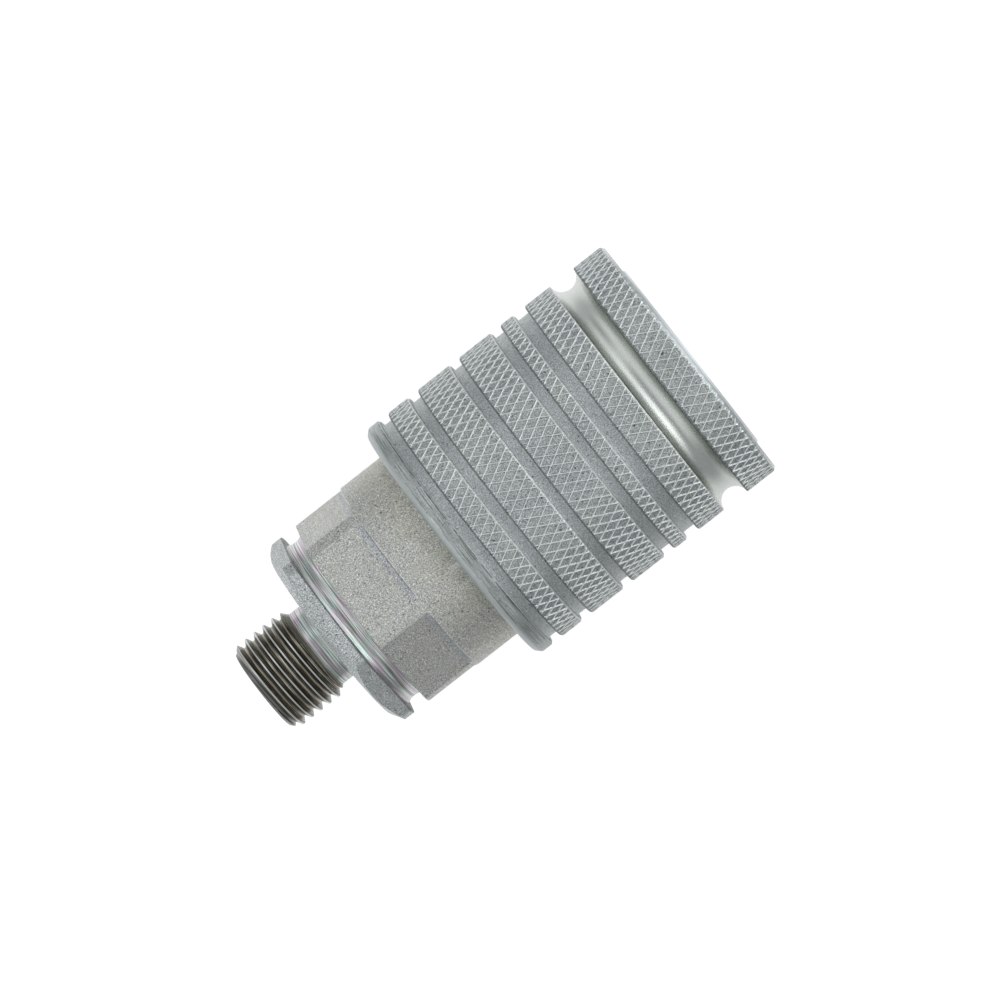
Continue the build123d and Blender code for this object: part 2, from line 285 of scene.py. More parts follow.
def knurled_cell(pitch):
    """One period of the sleeve, unrolled flat: X is the station, Y runs round, Z is the radius."""
    outline = sleeve_outline()
    cell = bmesh.new()
    knurled = cell.faces.layers.int.new("knurled")
    columns = [k * pitch / CELL_COLUMNS for k in range(CELL_COLUMNS + 1)]
    grid = [[cell.verts.new((x, y, r)) for y in columns] for x, r, _ in outline]
    for i, (_, _, is_knurled) in enumerate(outline):
        following = grid[(i + 1) % len(outline)]
        for k in range(CELL_COLUMNS):
            face = cell.faces.new((grid[i][k], following[k], following[k + 1], grid[i][k + 1]))
            face[knurled] = int(is_knurled)
    # Cut the knurled stretches along both edges of each line's top and along the foot of its slopes, for
    # every line that can cross the period
    reach = (SLEEVE_REAR - SLEEVE_FRONT) * tan(KNURL_ANGLE)
    first = int(-reach / pitch) - 2
    last = int(reach / pitch) + 3
    offsets = [side * (KNURL_TOP / 2 + extra) for side in (1, -1) for extra in (0, KNURL_SLOPE)]
    for lean in (1, -1):
        normal = Vector((-lean * sin(KNURL_ANGLE), cos(KNURL_ANGLE), 0))
        for line in range(first, last):
            for offset in offsets:
                faces = [f for f in cell.faces if f[knurled]]
                edges = list({e for f in faces for e in f.edges})
                verts = list({v for f in faces for v in f.verts})
                point = Vector((0, line * pitch, 0)) + normal * offset
                sides = [(v.co - point).dot(normal) for v in verts]
                if min(sides) < 0 < max(sides):
                    bmesh.ops.bisect_plane(
                        cell, geom=verts + edges + faces, dist=1e-5, plane_co=point, plane_no=normal
                    )
    for v in {v for f in cell.faces if f[knurled] for v in f.verts}:
        v.co.z = min(v.co.z, SLEEVE_R - knurl_depth(v.co.x, v.co.y, pitch))
    cell.verts.index_update()
    verts = np.array([v.co for v in cell.verts])
    faces = [[v.index for v in f.verts] for f in cell.faces]
    cell.free()
    return verts, faces


def make_sleeve():
    """The unrolled period bent round the axis, once for each line of the knurl."""
    pitch = TURN * SLEEVE_R / KNURL_LINES
    cell, cell_faces = knurled_cell(pitch)
    verts = []
    faces = []
    for k in range(KNURL_LINES):
        angle = (cell[:, 1] + k * pitch) / SLEEVE_R
        verts.append(np.column_stack([cell[:, 0], cell[:, 2] * np.sin(angle), cell[:, 2] * np.cos(angle)]))
        faces.extend([[i + k * len(cell) for i in face] for face in cell_faces])
    return new_object("knurled_sleeve", np.vstack(verts), faces, sharp=radians(42))


# ---------------------------------------------------------------- the tail body

# Each flat reaches this many degrees either side of its middle
HALF_FLAT = degrees(np.arccos(HEX_HALF / BODY_R))


def hexagon_angles():
    """Angles round the tail body, with one on each edge between a flat and a corner."""
    angles = []
    for k in range(6):
        middle = HEX_TURN + 60 * k
        flat_end = middle + HALF_FLAT
        corner_end = middle + 60 - HALF_FLAT
        angles.extend(np.linspace(middle - HALF_FLAT, flat_end, FLAT_STEPS, endpoint=False))
        angles.extend(np.linspace(flat_end, corner_end, CORNER_STEPS, endpoint=False))
    return np.radians(angles)


ANGLES = hexagon_angles()
COS = np.cos(ANGLES)
SIN = np.sin(ANGLES)


def flat_radius():
    """Distance from the axis to the hexagon at each angle, no more than the body's radius."""
    off_middle = (np.degrees(ANGLES) - HEX_TURN + 30) % 60 - 30
    return np.minimum(HEX_HALF / np.cos(np.radians(off_middle)), BODY_R)


def ring(x, r):
    """A ring of the tail body at one station; the radius is one number, or one for each angle."""
    return np.full(len(ANGLES), float(x)), np.broadcast_to(r, len(ANGLES)).astype(float)


def groove_floor():
    """The turned groove between the hexagon and the flange has a shallow hollow floor."""
    middle = (HEX_END + FLANGE_START) / 2
    half = degrees(np.arcsin((FLANGE_START - HEX_END) / 2 / GROOVE_FLOOR_R))
    centre_r = GROOVE_R - GROOVE_HOLLOW + GROOVE_FLOOR_R
    return arc(middle, centre_r, GROOVE_FLOOR_R, 270 + half, 270 - half, GROOVE_STEPS)


def thread_depth(phase):
    """Radius of the thread's section at a share of the pitch, with its crest at 0."""
    away = min(phase % 1.0, 1 - phase % 1.0)
    down = (away - THREAD_CREST) / (0.5 - THREAD_ROOT - THREAD_CREST)
    return THREAD_R - (THREAD_R - THREAD_ROOT_R) * min(1.0, max(0.0, down))


def thread_patch():
    """The threaded stretch: rows follow the helix and are held between its two ends."""
    flank = list(np.linspace(THREAD_CREST, 0.5 - THREAD_ROOT, FLANK_STEPS))
    steps = [0, *flank, 0.5, *[1 - step for step in reversed(flank)]]
    # Enough turns to run past both ends; what lies past an end is folded onto it and welded away
    turns = int((BODY_END - THREAD_START) / THREAD_PITCH) + 3
    rows = [turn + step for turn in range(-1, turns) for step in steps]
    angles = np.append(ANGLES, ANGLES[0] + TURN)
    verts = []
    for row in rows:
        for angle in angles:
            x = THREAD_START + THREAD_PITCH * (row - 1 + (angle - angles[0]) / TURN)
            x = min(max(x, THREAD_START), BODY_END)
            phase = (x - THREAD_START) / THREAD_PITCH - (angle - angles[0]) / TURN
            limit = min(NECK_R + x - THREAD_START, THREAD_R - THREAD_CHAMFER + BODY_END - x)
            r = min(thread_depth(phase), limit)
            verts.append((x, r * cos(angle), r * sin(angle)))
    count = len(angles)
    faces = []
    for i in range(len(rows) - 1):
        for j in range(count - 1):
            a = i * count + j
            faces.append((a, a + count, a + count + 1, a + 1))
    return verts, faces


def make_tail():
    """The tail body: a stack of rings from the neck forward over the hexagon and back through the bore."""
    flats = flat_radius()
    body = np.full(len(ANGLES), BODY_R)
    neck_fillet = arc(
        FLANGE_END + NECK_FILLET, NECK_R + NECK_FILLET, NECK_FILLET, 270, 180, NECK_FILLET_STEPS
    )
    # Chamfer and flats of the flange meet where the cone is as high as the flat
    slope = FLANGE_CHAMFER / (BODY_R - FLANGE_FACE_R)
    meeting = FLANGE_END - slope * (flats - FLANGE_FACE_R)
    rings = [
        ring(THREAD_START, NECK_R),
        *[ring(x, r) for x, r in neck_fillet],
        ring(FLANGE_END, FLANGE_FACE_R - FACE_BREAK_R),
        ring(FLANGE_END - FACE_BREAK_X, FLANGE_FACE_R),
        (meeting, flats),
        ring(FLANGE_START + FLAT_BREAK, flats),
        ring(FLANGE_START, flats - FLAT_BREAK),
        *[ring(x, r) for x, r in groove_floor()],
        ring(HEX_END, flats - FLAT_BREAK),
        ring(HEX_END - FLAT_BREAK, flats),
    ]
    for k in range(HEX_FILLET_STEPS + 1):
        turn = radians(90 * k / HEX_FILLET_STEPS)
        rise = HEX_FILLET * (1 - cos(turn))
        rings.append(ring(HEX_START + HEX_FILLET * (1 - sin(turn)), np.minimum(flats + rise, body)))
    rings.append(ring(HEX_START, np.maximum(flats, body - HEX_EDGE)))
    rings.append(ring(HEX_START - HEX_EDGE, body))
    for x, r in [
        (BODY_FRONT + EDGE_BREAK, BODY_R),
        (BODY_FRONT, BODY_R - EDGE_BREAK),
        (BODY_FRONT, PILOT_R + EDGE_BREAK),
        (BODY_FRONT + EDGE_BREAK, PILOT_R),
        (PILOT_END, PILOT_R),
        (PILOT_END, TAIL_THREAD_R),
        (CHAMBER_END, TAIL_THREAD_R),
        (CHAMBER_END, CAVITY_R),
        (CAVITY_END, CAVITY_R),
        (CAVITY_END + CAVITY_R - FLOW_R, FLOW_R),
        (BODY_END - TUBE_DEPTH, FLOW_R),
        (BODY_END - TUBE_DEPTH, TUBE_R),
        (BODY_END - TUBE_CONE, TUBE_R),
        (BODY_END, TUBE_MOUTH_R),
        (BODY_END, THREAD_R - THREAD_CHAMFER),
    ]:
        rings.append(ring(x, r))
    verts, faces = skin(rings, closed=False)
    thread_verts, thread_faces = thread_patch()
    start = len(verts)
    faces.extend([[i + start for i in face] for face in thread_faces])
    return new_object("threaded_tail", list(verts) + thread_verts, faces)


# ---------------------------------------------------------------- springs

SPRING_STEPS_PER_TURN = 64
WIRE_SIDES = 20
# A closed coil's pitch, in wire diameters
CLOSED_PITCH = 1.02


def make_spring(name, node, wire_r, coils):
    """A compression spring in its node's box, with a closed and ground coil at each end."""
    low, high = box_mm(node)
    front = low.x
    back = high.x
    coil_r = high.y - wire_r
    closed = 2 * wire_r * CLOSED_PITCH
    free_coils = coils - 2
    pitch = (back - front - 2 * closed) / free_coils
    verts = []
    steps = int(coils * SPRING_STEPS_PER_TURN)
    for i in range(steps + 1):
        turn = i / SPRING_STEPS_PER_TURN
        if turn < 1:
            x = closed * turn
        elif turn > coils - 1:
            x = closed * (turn - coils + 2) + pitch * free_coils
        else:
            x = closed + pitch * (turn - 1)
        angle = TURN * turn
        for k in range(WIRE_SIDES):
            side = TURN * k / WIRE_SIDES
            r = coil_r + wire_r * cos(side)
            station = min(max(front + x + wire_r * sin(side), front), back)
            verts.append((station, r * cos(angle), r * sin(angle)))
    faces = []
    for i in range(steps):
        for k in range(WIRE_SIDES):
            j = (k + 1) % WIRE_SIDES
            near = i * WIRE_SIDES
            far = near + WIRE_SIDES
            faces.append((near + k, far + k, far + j, near + j))
    faces.append(tuple(range(WIRE_SIDES)))
    faces.append(tuple(steps * WIRE_SIDES + k for k in reversed(range(WIRE_SIDES))))
    return new_object(name, verts, faces, weld=0.0002)


# ---------------------------------------------------------------- materials

class Nodes:
    """Short calls that add nodes to a node tree; a value is a number or another node's output."""

    def __init__(self, tree):
        self.tree = tree

    def put(self, value, socket):
        if isinstance(value, bpy.types.NodeSocket):
            self.tree.links.new(value, socket)
        elif isinstance(value, tuple):
            socket.default_value = (*value, 1)
        else:
            socket.default_value = value

    def math(self, operation, a, b=0.0):
        node = self.tree.nodes.new("ShaderNodeMath")
        node.operation = operation
        self.put(a, node.inputs[0])
        self.put(b, node.inputs[1])
        return node.outputs[0]

    def product(self, first, *others):
        for other in others:
            first = self.math("MULTIPLY", first, other)
        return first

    def total(self, first, *others):
        for other in others:
            first = self.math("ADD", first, other)
        return first

    def rest(self, value):
        """What is left of 1."""
        return self.math("SUBTRACT", 1.0, value)

    def mix(self, share, a, b):
        """a at share 0, b at share 1."""
        return self.total(self.product(self.rest(share), a), self.product(share, b))

    def ramp(self, value, low, high, out_low=0.0, out_high=1.0):
        """value taken from low..high to out_low..out_high, held at both ends and eased between them."""
        node = self.tree.nodes.new("ShaderNodeMapRange")
        node.interpolation_type = "SMOOTHSTEP"
        self.put(value, node.inputs["Value"])
        node.inputs["From Min"].default_value = low
        node.inputs["From Max"].default_value = high
        node.inputs["To Min"].default_value = out_low
        node.inputs["To Max"].default_value = out_high
        return node.outputs["Result"]

    def between(self, value, low, high, soft=0.02):
        """1 where value is between low and high, 0 outside."""
        above = self.ramp(value, low - soft, low + soft)
        return self.product(above, self.ramp(value, high - soft, high + soft, 1, 0))

    def split(self, vector):
        node = self.tree.nodes.new("ShaderNodeSeparateXYZ")
        self.tree.links.new(vector, node.inputs[0])
        return node.outputs

    def blend(self, share, a, b, how="MIX"):
        """Colour a at share 0; at share 1 colour b, or a and b put together the way how says."""
        node = self.tree.nodes.new("ShaderNodeMix")
        node.data_type = "RGBA"
        node.blend_type = how
        self.put(share, node.inputs["Factor"])
        self.put(a, node.inputs["A"])
        self.put(b, node.inputs["B"])
        return node.outputs["Result"]


class Surface(Nodes):
    """A Principled material in millimetres: x is the station, r the distance from the axis."""

    def __init__(self, name, base, metallic, roughness):
        self.material = bpy.data.materials.new(name)
        self.material.use_nodes = True
        super().__init__(self.material.node_tree)
        self.shader = self.tree.nodes["Principled BSDF"]
        self.shader.inputs["Metallic"].default_value = metallic
        self.shader.inputs["Roughness"].default_value = roughness
        coordinates = self.tree.nodes.new("ShaderNodeTexCoord")
        scale = self.tree.nodes.new("ShaderNodeVectorMath")
        scale.operation = "SCALE"
        scale.inputs["Scale"].default_value = 1 / MM
        self.tree.links.new(coordinates.outputs["Object"], scale.inputs[0])
        self.place = scale.outputs[0]
        self.x, self.y, self.z = self.split(self.place)
        self.r = self.math("SQRT", self.total(self.product(self.y, self.y), self.product(self.z, self.z)))
        self.colour = base
        self.bump = None

    def noise(self, per_mm, detail=2.0, roughness=0.5, place=None):
        """Noise with about so many features in a millimetre, at the surface's own place or another."""
        node = self.tree.nodes.new("ShaderNodeTexNoise")
        node.inputs["Scale"].default_value = per_mm
        node.inputs["Detail"].default_value = detail
        node.inputs["Roughness"].default_value = roughness
        self.tree.links.new(place or self.place, node.inputs["Vector"])
        return node.outputs["Fac"]

    def lathe_lines(self, per_mm, round_axis=0.02):
        """Noise drawn out round the axis, as fine turning lines on cylinders and end faces alike."""
        place = self.tree.nodes.new("ShaderNodeCombineXYZ")
        for value, socket in zip((self.x, self.r, self.product(self.y, round_axis)), place.inputs):
            self.put(value, socket)
        return self.noise(per_mm, 2.0, 0.6, place.outputs[0])

    def tint(self, rgb, share, how="MIX"):
        self.colour = self.blend(share, self.colour, rgb, how)

    def roughness(self, value):
        self.put(value, self.shader.inputs["Roughness"])

    def relief(self, height, depth_mm):
        """Add a bump of this depth; several bumps add up."""
        node = self.tree.nodes.new("ShaderNodeBump")
        node.inputs["Distance"].default_value = depth_mm * MM
        self.put(height, node.inputs["Height"])
        if self.bump is not None:
            self.put(self.bump, node.inputs["Normal"])
        self.bump = node.outputs["Normal"]

    def finish(self):
        self.put(self.colour, self.shader.inputs["Base Color"])
        if self.bump is not None:
            self.put(self.bump, self.shader.inputs["Normal"])
        return self.material


def knurl_line(s, lean):
    """1 on the crests of the raised lines that lean this way, fading to 0 beside them."""
    round_axis = s.product(s.math("ARCTAN2", s.y, s.z), KNURL_LINES / TURN)
    pitch = TURN * SLEEVE_R / KNURL_LINES
    along = s.product(s.x, -lean * tan(KNURL_ANGLE) / pitch)
    off_line = s.math("PINGPONG", s.total(round_axis, along), 0.5)
    return s.ramp(s.product(off_line, pitch * cos(KNURL_ANGLE)), KNURL_TOP * 0.6, KNURL_TOP * 1.5, 1.0, 0.0)


def blasted_grain(s, share, coarse, dark, light):
    """The pitted grain of blasted zinc, in colour and relief, over the share of the surface that has it."""
    grain = s.noise(coarse, 3.0, 0.75)
    pits = s.noise(coarse * 0.45, 1.0)
    s.tint((0.36, 0.36, 0.36), s.product(s.ramp(grain, 0.50, 0.62), share, dark), "MULTIPLY")
    s.tint((0.62, 0.63, 0.63), s.product(s.ramp(grain, 0.49, 0.36), share, light), "ADD")
    s.tint((0.20, 0.19, 0.18), s.product(s.ramp(pits, 0.68, 0.72), share), "MULTIPLY")
    s.relief(s.product(grain, share), 0.05)
    return grain


def sleeve_rims(s, grain, glint_breakup, flange):
    """Painted highlights on the edge behind each groove, painted shade on the edge at its front, and a
    broken painted highlight on the front rim.
    """
    high = s.ramp(s.r, SLEEVE_R - 0.28, SLEEVE_R - 0.2)
    for front, back in [(FINGER_AT - FINGER_R, FINGER_AT + FINGER_R), *GRIP_GROOVES]:
        # Painted highlight on the edge behind the groove
        rim = s.between(s.x, SLEEVE_FRONT + back - 0.03, SLEEVE_FRONT + back + EDGE_BREAK)
        s.tint((0.88, 0.89, 0.86), s.product(rim, s.rest(flange), high, glint_breakup, 0.55))
        # Painted shade on the edge at the groove's front
        rim = s.between(s.x, SLEEVE_FRONT + front - EDGE_BREAK, SLEEVE_FRONT + front + 0.03)
        s.tint((0.55, 0.56, 0.56), s.product(rim, high), "MULTIPLY")
    chamfer_end = SLEEVE_FRONT + FRONT_CHAMFER
    # Painted highlight along the front rim, broken up by the grain
    front_rim_highlight = s.between(s.x, chamfer_end - 0.06, chamfer_end + 0.12)
    s.tint((0.95, 0.96, 0.96), s.product(front_rim_highlight, s.ramp(grain, 0.54, 0.46), 0.9))


def sleeve_flange(s, flange, lines):
    """Turning lines on the rear flange, a scored line near its front edge and a paler rear chamfer."""
    chamfer = s.ramp(s.x, SLEEVE_REAR - REAR_CHAMFER - 0.1, SLEEVE_REAR - REAR_CHAMFER)
    s.tint((0.455, 0.485, 0.485), s.product(chamfer, s.ramp(s.r, SLEEVE_R - 1.0, SLEEVE_R - 0.9), 0.8))
    turned = s.product(flange, s.rest(chamfer))
    s.tint((0.45, 0.45, 0.44), s.product(turned, s.ramp(lines, 0.53, 0.60)), "MULTIPLY")
    s.tint((0.25, 0.26, 0.26), s.product(turned, s.ramp(lines, 0.42, 0.35)), "ADD")
    high = s.ramp(s.r, SLEEVE_R - 0.3, SLEEVE_R - 0.2)
    scored = s.product(s.between(s.x, FLANGE_FRONT + 0.12, FLANGE_FRONT + 0.27), high)
    s.tint((0.40, 0.40, 0.40), s.product(scored, s.ramp(s.noise(0.8), 0.40, 0.50)), "MULTIPLY")


def blasted_sleeve():
    """Blue-grey blasted zinc: painted highlights on the knurl crests, a satin finger groove and a turned
    rear flange.
    """
    s = Surface("blasted_zinc_sleeve", (0.385, 0.42, 0.405), 1.0, 0.42)
    s.tint((0.365, 0.39, 0.40), s.ramp(s.noise(0.16, 3.0), 0.38, 0.64, 0.0, 0.7))
    finger = SLEEVE_FRONT + FINGER_AT
    below_rim = s.ramp(s.r, SLEEVE_R - 0.12, SLEEVE_R - 0.04, 1, 0)
    groove = s.product(s.between(s.x, finger - FINGER_R, finger + FINGER_R), below_rim)
    flange = s.ramp(s.x, FLANGE_FRONT, FLANGE_FRONT + 0.1)
    s.tint((0.43, 0.465, 0.45), s.product(flange, 0.8))
    knurled = s.product(s.rest(flange), s.rest(groove), s.ramp(s.r, SLEEVE_R - 0.07, SLEEVE_R - 0.02))
    front_face = s.ramp(s.x, SLEEVE_FRONT + FRONT_CHAMFER - 0.1, SLEEVE_FRONT + FRONT_CHAMFER, 1, 0)
    front_edge = s.product(front_face, s.ramp(s.r, RELEASE_R, RELEASE_R + 0.5))
    cut = s.ramp(s.r, SLEEVE_R - 0.7, SLEEVE_R - 0.4, 1, 0)
    s.tint((0.43, 0.46, 0.46), s.product(cut, s.rest(groove)))
    smooth = s.total(s.product(cut, 0.25), s.product(groove, 0.3))
    smooth = s.total(smooth, s.product(front_edge, 0.7), s.product(flange, 0.5))
    grain = blasted_grain(s, s.rest(smooth), 6.5, 0.8, 0.6)
    # How strongly the grain lets the painted highlights through, on the knurl crests and the groove rims
    glint_breakup = s.ramp(grain, 0.66, 0.50, 0.5, 1.0)
    # Painted highlights: the crests of both families of knurl lines are lightened to stand in for glints
    s.tint((0.88, 0.90, 0.88), s.product(knurled, knurl_line(s, 1), glint_breakup))
    s.tint((0.84, 0.86, 0.84), s.product(knurled, knurl_line(s, -1), glint_breakup, 0.9))
    s.tint((0.62, 0.64, 0.60), s.product(groove, 0.75))
    s.tint((0.47, 0.51, 0.50), s.product(front_edge, 0.9))
    sleeve_rims(s, grain, glint_breakup, flange)
    lines = s.lathe_lines(11.0)
    sleeve_flange(s, flange, lines)
    satin = s.math("MAXIMUM", groove, front_edge)
    s.roughness(s.mix(satin, s.ramp(grain, 0.3, 0.7, 0.36, 0.48), 0.19))
    s.relief(s.product(lines, s.math("MAXIMUM", satin, flange)), 0.012)
    return s.finish()


def hexagon_flats(s):
    """Painted shade: a darker bluish band where the cutter ran out at the end of each wrench flat; painted
    highlights on the edges round it.
    """
    round_axis = s.product(s.math("ARCTAN2", s.z, s.y), 6 / TURN)
    off_flat = s.product(s.math("PINGPONG", s.total(round_axis, -HEX_TURN / 60), 0.5), 60)
    on_flat = s.ramp(off_flat, HALF_FLAT - 1, HALF_FLAT, 1, 0)
    # Painted shade of the step, as a darker bluish band over the run-out
    run_out_shade = s.between(s.x, HEX_START + 0.1, HEX_START + 0.9, 0.1)
    s.tint((0.41, 0.425, 0.45), s.product(on_flat, run_out_shade, 0.8))
    # Painted highlight along the front edge of each flat
    s.tint((0.75, 0.76, 0.74), s.product(on_flat, s.between(s.x, HEX_START - 0.14, HEX_START + 0.02), 0.8))
    # Painted highlight along the edges between the flats and the corners
    side = s.between(off_flat, HALF_FLAT - 0.25, HALF_FLAT + 0.25, 0.15)
    s.tint((0.75, 0.76, 0.74), s.product(side, s.between(s.x, HEX_START, HEX_END), 0.5))


def turned_film(s, turned, lines):
    """Bare turned metal with a pink and blue-green film and fine turning lines."""
    film = s.lathe_lines(1.3, 0.3)
    s.tint((0.47, 0.49, 0.47), turned)
    s.tint((0.58, 0.45, 0.56), s.product(turned, s.ramp(film, 0.50, 0.60, 0.0, 0.6)))
    s.tint((0.40, 0.54, 0.49), s.product(turned, s.ramp(film, 0.38, 0.48, 0.6, 0.0)))
    s.tint((0.45, 0.44, 0.42), s.product(turned, s.ramp(lines, 0.52, 0.62)), "MULTIPLY")
    s.tint((0.32, 0.33, 0.33), s.product(turned, s.ramp(lines, 0.44, 0.34)), "ADD")


def dark_thread(s, thread, lines):
    """A dark oily thread with painted highlights along its crests, a near-black line below each crest and
    scratches along it.
    """
    s.tint((0.21, 0.20, 0.165), thread)
    root = s.ramp(s.r, THREAD_ROOT_R + 0.05, THREAD_ROOT_R + 0.45, 1, 0)
    s.tint((0.32, 0.30, 0.25), s.product(thread, root))
    below_crest = s.between(s.r, THREAD_R - 0.24, THREAD_R - 0.10, 0.05)
    s.tint((0.05, 0.047, 0.04), s.product(thread, below_crest, 0.85))
    s.tint((0.35, 0.34, 0.32), s.product(thread, s.ramp(lines, 0.52, 0.60)), "MULTIPLY")
    s.tint((0.45, 0.45, 0.43), s.product(thread, s.ramp(lines, 0.40, 0.33)), "ADD")
    # Painted highlight along each crest
    s.tint((0.62, 0.625, 0.61), s.product(thread, s.ramp(s.r, THREAD_R - 0.05, THREAD_R - 0.01)))


def blasted_body():
    """Blasted zinc, yellowish at the sleeve and bluish at the flange, turned where it is not blasted."""
    s = Surface("blasted_zinc_body", (0.485, 0.485, 0.40), 1.0, 0.42)
    s.tint((0.50, 0.507, 0.45), s.ramp(s.x, YELLOW_END, HEX_START))
    s.tint((0.455, 0.485, 0.475), s.ramp(s.x, HEX_END, FLANGE_START))
    s.tint((0.50, 0.495, 0.50), s.ramp(s.noise(0.20, 3.0), 0.42, 0.62, 0.0, 0.3))
    mottle = s.noise(3.5)
    s.tint((0.54, 0.46, 0.52), s.ramp(mottle, 0.52, 0.66, 0.0, 0.5))
    s.tint((0.42, 0.50, 0.50), s.ramp(mottle, 0.34, 0.48, 0.5, 0.0))
    hexagon_flats(s)
    low = s.ramp(s.r, GROOVE_R + 0.1, GROOVE_R + 0.25, 1, 0)
    groove = s.product(s.between(s.x, HEX_END, FLANGE_START), low)
    near_axis = s.ramp(s.r, THREAD_R + 0.25, THREAD_R + 0.45, 1, 0)
    stem = s.product(s.ramp(s.x, FLANGE_END - 0.02, FLANGE_END + 0.02), near_axis)
    thread = s.product(stem, s.ramp(s.x, THREAD_START - 0.1, THREAD_START + 0.1))
    turned = s.math("MAXIMUM", groove, s.product(stem, s.rest(thread)))
    bare = s.math("MAXIMUM", groove, stem)
    grain = blasted_grain(s, s.rest(bare), 8.0, 0.95, 0.85)
    lines = s.lathe_lines(8.0)
    turned_film(s, turned, lines)
    dark_thread(s, thread, lines)
    # Painted shade: a darker band along the flange's front edge, where it meets the groove
    flange_edge_shade = s.product(s.between(s.x, FLANGE_START - 0.02, FLANGE_START + 0.22), s.rest(groove))
    s.tint((0.45, 0.45, 0.45), flange_edge_shade, "MULTIPLY")
    end_chamfer = s.ramp(s.x, BODY_END - THREAD_CHAMFER - 0.05, BODY_END - THREAD_CHAMFER + 0.05)
    s.tint((0.20, 0.20, 0.185), s.product(stem, end_chamfer))
    s.roughness(s.mix(bare, s.ramp(grain, 0.3, 0.7, 0.36, 0.48), s.mix(thread, 0.22, 0.28)))
    s.relief(s.product(lines, turned), 0.025)
    return s.finish()


def plain_metal(name, base, roughness, per_mm, lathe):
    """A machined metal with faint turning lines and a little unevenness."""
    s = Surface(name, base, 1.0, roughness)
    fine = s.lathe_lines(per_mm) if lathe else s.noise(per_mm)
    s.tint(tuple(0.72 * c for c in base), s.ramp(s.noise(0.4, 3.0), 0.4, 0.7, 0.0, 0.25))
    s.tint(tuple(0.80 * c for c in base), s.ramp(fine, 0.45, 0.60, 0.0, 0.6))
    s.roughness(s.ramp(fine, 0.3, 0.7, roughness * 0.8, roughness * 1.25))
    s.relief(fine, 0.006)
    return s.finish()


def soft_ring(name, base, roughness):
    """A moulded or turned seal material with a faint mottle."""
    s = Surface(name, base, 0.0, roughness)
    fine = s.noise(8.0)
    s.tint(tuple(min(1.0, 1.5 * c + 0.01) for c in base), s.ramp(s.noise(1.2, 3.0), 0.4, 0.65, 0.0, 0.6))
    s.roughness(s.ramp(fine, 0.3, 0.7, roughness * 0.85, roughness * 1.15))
    s.relief(fine, 0.008)
    return s.finish()


def dress(node, material):
    """Give a carried-over CAD node its finished material."""
    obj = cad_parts[node]
    for material_slot in obj.material_slots:
        material_slot.material = material


# ---------------------------------------------------------------- build the pieces

spring_metal = plain_metal("spring_wire", (0.36, 0.36, 0.37), 0.32, 6.0, False)
ball_metal = plain_metal("polished_ball", (0.78, 0.79, 0.81), 0.12, 9.0, False)
valve_metal = plain_metal("turned_valve_steel", (0.60, 0.60, 0.59), 0.28, 8.0, True)
socket_metal = plain_metal("turned_socket_steel", (0.64, 0.67, 0.69), 0.34, 7.0, True)
rubber = soft_ring("nitrile_rubber", (0.018, 0.018, 0.018), 0.5)
ptfe = soft_ring("ptfe", (0.80, 0.80, 0.78), 0.45)

sleeve = make_sleeve()
sleeve.data.materials.append(blasted_sleeve())
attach(sleeve, "sleeve")
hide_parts("locking_sleeve")

tail = make_tail()
tail.data.materials.append(blasted_body())
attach(tail, "coupler_body")
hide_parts("tail_body")

# Each spring: piece, CAD node, wire radius, coils and the joint that squeezes it
SPRINGS = [
    ("ground_sleeve_spring", "sleeve_spring", 0.8, 6.5, "sleeve_slide"),
    ("ground_poppet_spring", "poppet_spring", 0.65, 7.0, "poppet_slide"),
]
for name, node, wire_r, coils, joint in SPRINGS:
    spring = make_spring(name, node, wire_r, coils)
    spring.data.materials.append(spring_metal)
    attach(spring, "coupler_body")
    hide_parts(node)
    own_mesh(spring)

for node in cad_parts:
    if node.startswith("ball_"):
        dress(node, ball_metal)
dress("socket_body", socket_metal)
for node in ("sleeve_snap_ring", "guide_retaining_ring"):
    dress(node, spring_metal)
for node in ("poppet", "poppet_seal_retainer", "valve_guide"):
    dress(node, valve_metal)
for node in ("interface_o_ring", "body_o_ring", "poppet_seal"):
    dress(node, rubber)
for node in ("interface_backup_ring", "body_backup_ring"):
    dress(node, ptfe)


# ---------------------------------------------------------------- floor, light and camera

# The sheet as the camera sees it: how much light it sends back, and its own glow
SHEET_WHITE = 0.5
SHEET_GLOW = 0.72
# The sheet as the metal mirrors it: its grey on each side, and the glow near the coupler's axis
SHEET_GREY = 0.62
SHEET_SHADE = 0.42
NEAR_GLOW = 0.52
NEAR_SHEET = 0.028
FAR_SHEET = 0.075


def white_sheet():
    """A glowing white sheet to the camera; the metal mirrors it as grey, darker on its +Y side."""
    material = bpy.data.materials.new("white_sheet")
    material.use_nodes = True
    tree = material.node_tree
    n = Nodes(tree)
    shader = tree.nodes["Principled BSDF"]
    shader.inputs["Roughness"].default_value = 0.9
    shader.inputs["Emission Color"].default_value = (1, 1, 1, 1)
    coordinates = tree.nodes.new("ShaderNodeTexCoord")
    y = n.split(coordinates.outputs["Object"])["Y"]
    seen = tree.nodes.new("ShaderNodeLightPath").outputs["Is Camera Ray"]
    near = n.ramp(n.math("ABSOLUTE", y), NEAR_SHEET, FAR_SHEET, 1, 0)
    n.put(n.mix(seen, n.product(near, NEAR_GLOW), SHEET_GLOW), shader.inputs["Emission Strength"])
    white = n.mix(seen, n.ramp(y, -0.02, 0.05, SHEET_GREY, SHEET_SHADE), SHEET_WHITE)
    n.put(n.blend(white, (0, 0, 0), (1, 1, 1)), shader.inputs["Base Color"])
    return material


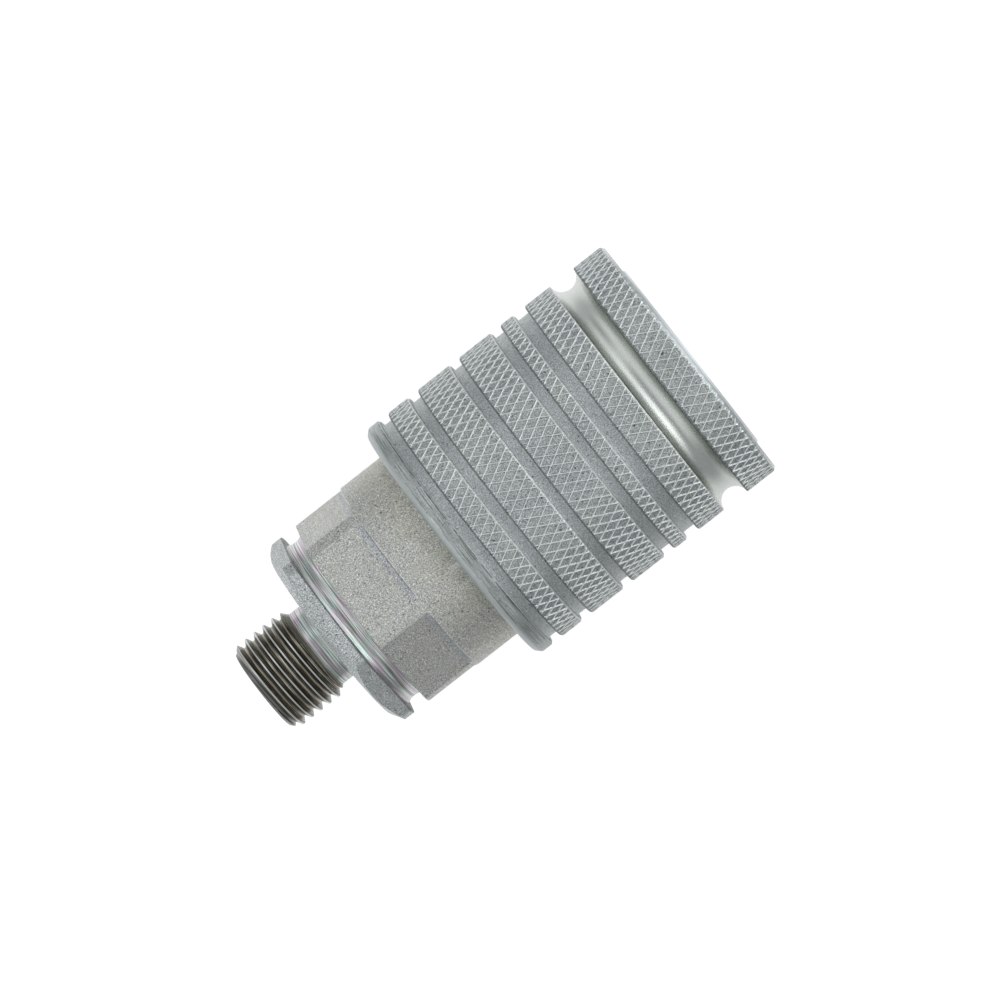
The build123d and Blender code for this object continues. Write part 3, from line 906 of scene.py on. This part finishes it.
FLOOR_Z = cad_box[0][2] - 0.00005
FLOOR_HALF = 1.2
floor_mesh = bpy.data.meshes.new("floor")
floor_mesh.from_pydata(
    [(-FLOOR_HALF, -FLOOR_HALF, FLOOR_Z), (FLOOR_HALF, -FLOOR_HALF, FLOOR_Z),
     (FLOOR_HALF, FLOOR_HALF, FLOOR_Z), (-FLOOR_HALF, FLOOR_HALF, FLOOR_Z)], [], [(0, 1, 2, 3)])
floor = bpy.data.objects.new("floor", floor_mesh)
bpy.context.scene.collection.objects.link(floor)
floor.data.materials.append(white_sheet())

# How strong each part of the light tent is: the banks, their low +Y side, the slot and its -Y end, the
# extra light over the nose, and the key panel
BANK_LIGHT = 0.97
BANK_SHADE = 0.36
SLOT_LIGHT = 0.46
SLOT_BOUNCE = 0.48
NOSE_BANK_EXTRA = 0.55
KEY_LIGHT = 0.65
# Where the slot's middle and edges lie and the banks begin, along X on the unit sphere of directions
SLOT_AT = -0.05
SLOT_HALF = 0.14
BANK_FROM = 0.42
KEY_TOWARDS = Vector((-0.66, 0.45, 0.60)).normalized()


def light_tent():
    """Soft light banks over the nose and over the port, a dim slot between them and one key panel."""
    world = bpy.data.worlds.new("light_tent")
    world.use_nodes = True
    tree = world.node_tree
    n = Nodes(tree)
    coordinates = tree.nodes.new("ShaderNodeTexCoord")
    x, y, z = n.split(coordinates.outputs["Generated"])
    in_bank = n.ramp(n.math("ABSOLUTE", n.total(x, -SLOT_AT)), SLOT_HALF, BANK_FROM)
    slot = n.total(SLOT_LIGHT, n.product(n.between(y, -0.8, -0.45, 0.15), SLOT_BOUNCE))
    low_side = n.product(n.ramp(y, 0.45, 0.95), n.ramp(z, 0.15, 0.6, 1, 0))
    bank = n.mix(low_side, BANK_LIGHT, BANK_SHADE)
    towards = n.total(*[n.product(axis, share) for axis, share in zip((x, y, z), KEY_TOWARDS)])
    key = n.product(n.ramp(towards, 0.86, 0.97), KEY_LIGHT)
    nose_bank = n.product(n.ramp(x, -0.62, -0.45, 1, 0), n.between(y, -0.6, 0.75, 0.12), NOSE_BANK_EXTRA)
    n.put(n.total(n.mix(in_bank, slot, bank), nose_bank, key), tree.nodes["Background"].inputs["Strength"])
    tree.nodes["Background"].inputs["Color"].default_value = (0.96, 0.98, 1.0, 1)
    bpy.context.scene.world = world


light_tent()


# Long lens nearly straight above the coupler, turned so that the port points to the lower left
LENS = 220.9
SENSOR = 36
CAMERA_HEIGHT = 0.823
CAMERA_X = SLEEVE_FRONT * MM - 0.0024
AIM = Vector((SLEEVE_FRONT * MM + 0.0319, -0.00056, 0))
ROLL = radians(38)
camera_data = bpy.data.cameras.new("camera")
camera_data.lens = LENS
camera_data.sensor_width = SENSOR
camera = bpy.data.objects.new("camera", camera_data)
bpy.context.scene.collection.objects.link(camera)
eye = Vector((CAMERA_X, 0, CAMERA_HEIGHT))
back = (eye - AIM).normalized()
right = Vector((-cos(ROLL), sin(ROLL), 0))
right = (right - back * right.dot(back)).normalized()
up = back.cross(right)
camera.matrix_world = Matrix((
    (right.x, up.x, back.x, eye.x),
    (right.y, up.y, back.y, eye.y),
    (right.z, up.z, back.z, eye.z),
    (0, 0, 0, 1),
))
bpy.context.scene.camera = camera
bpy.context.scene.view_settings.view_transform = "Standard"
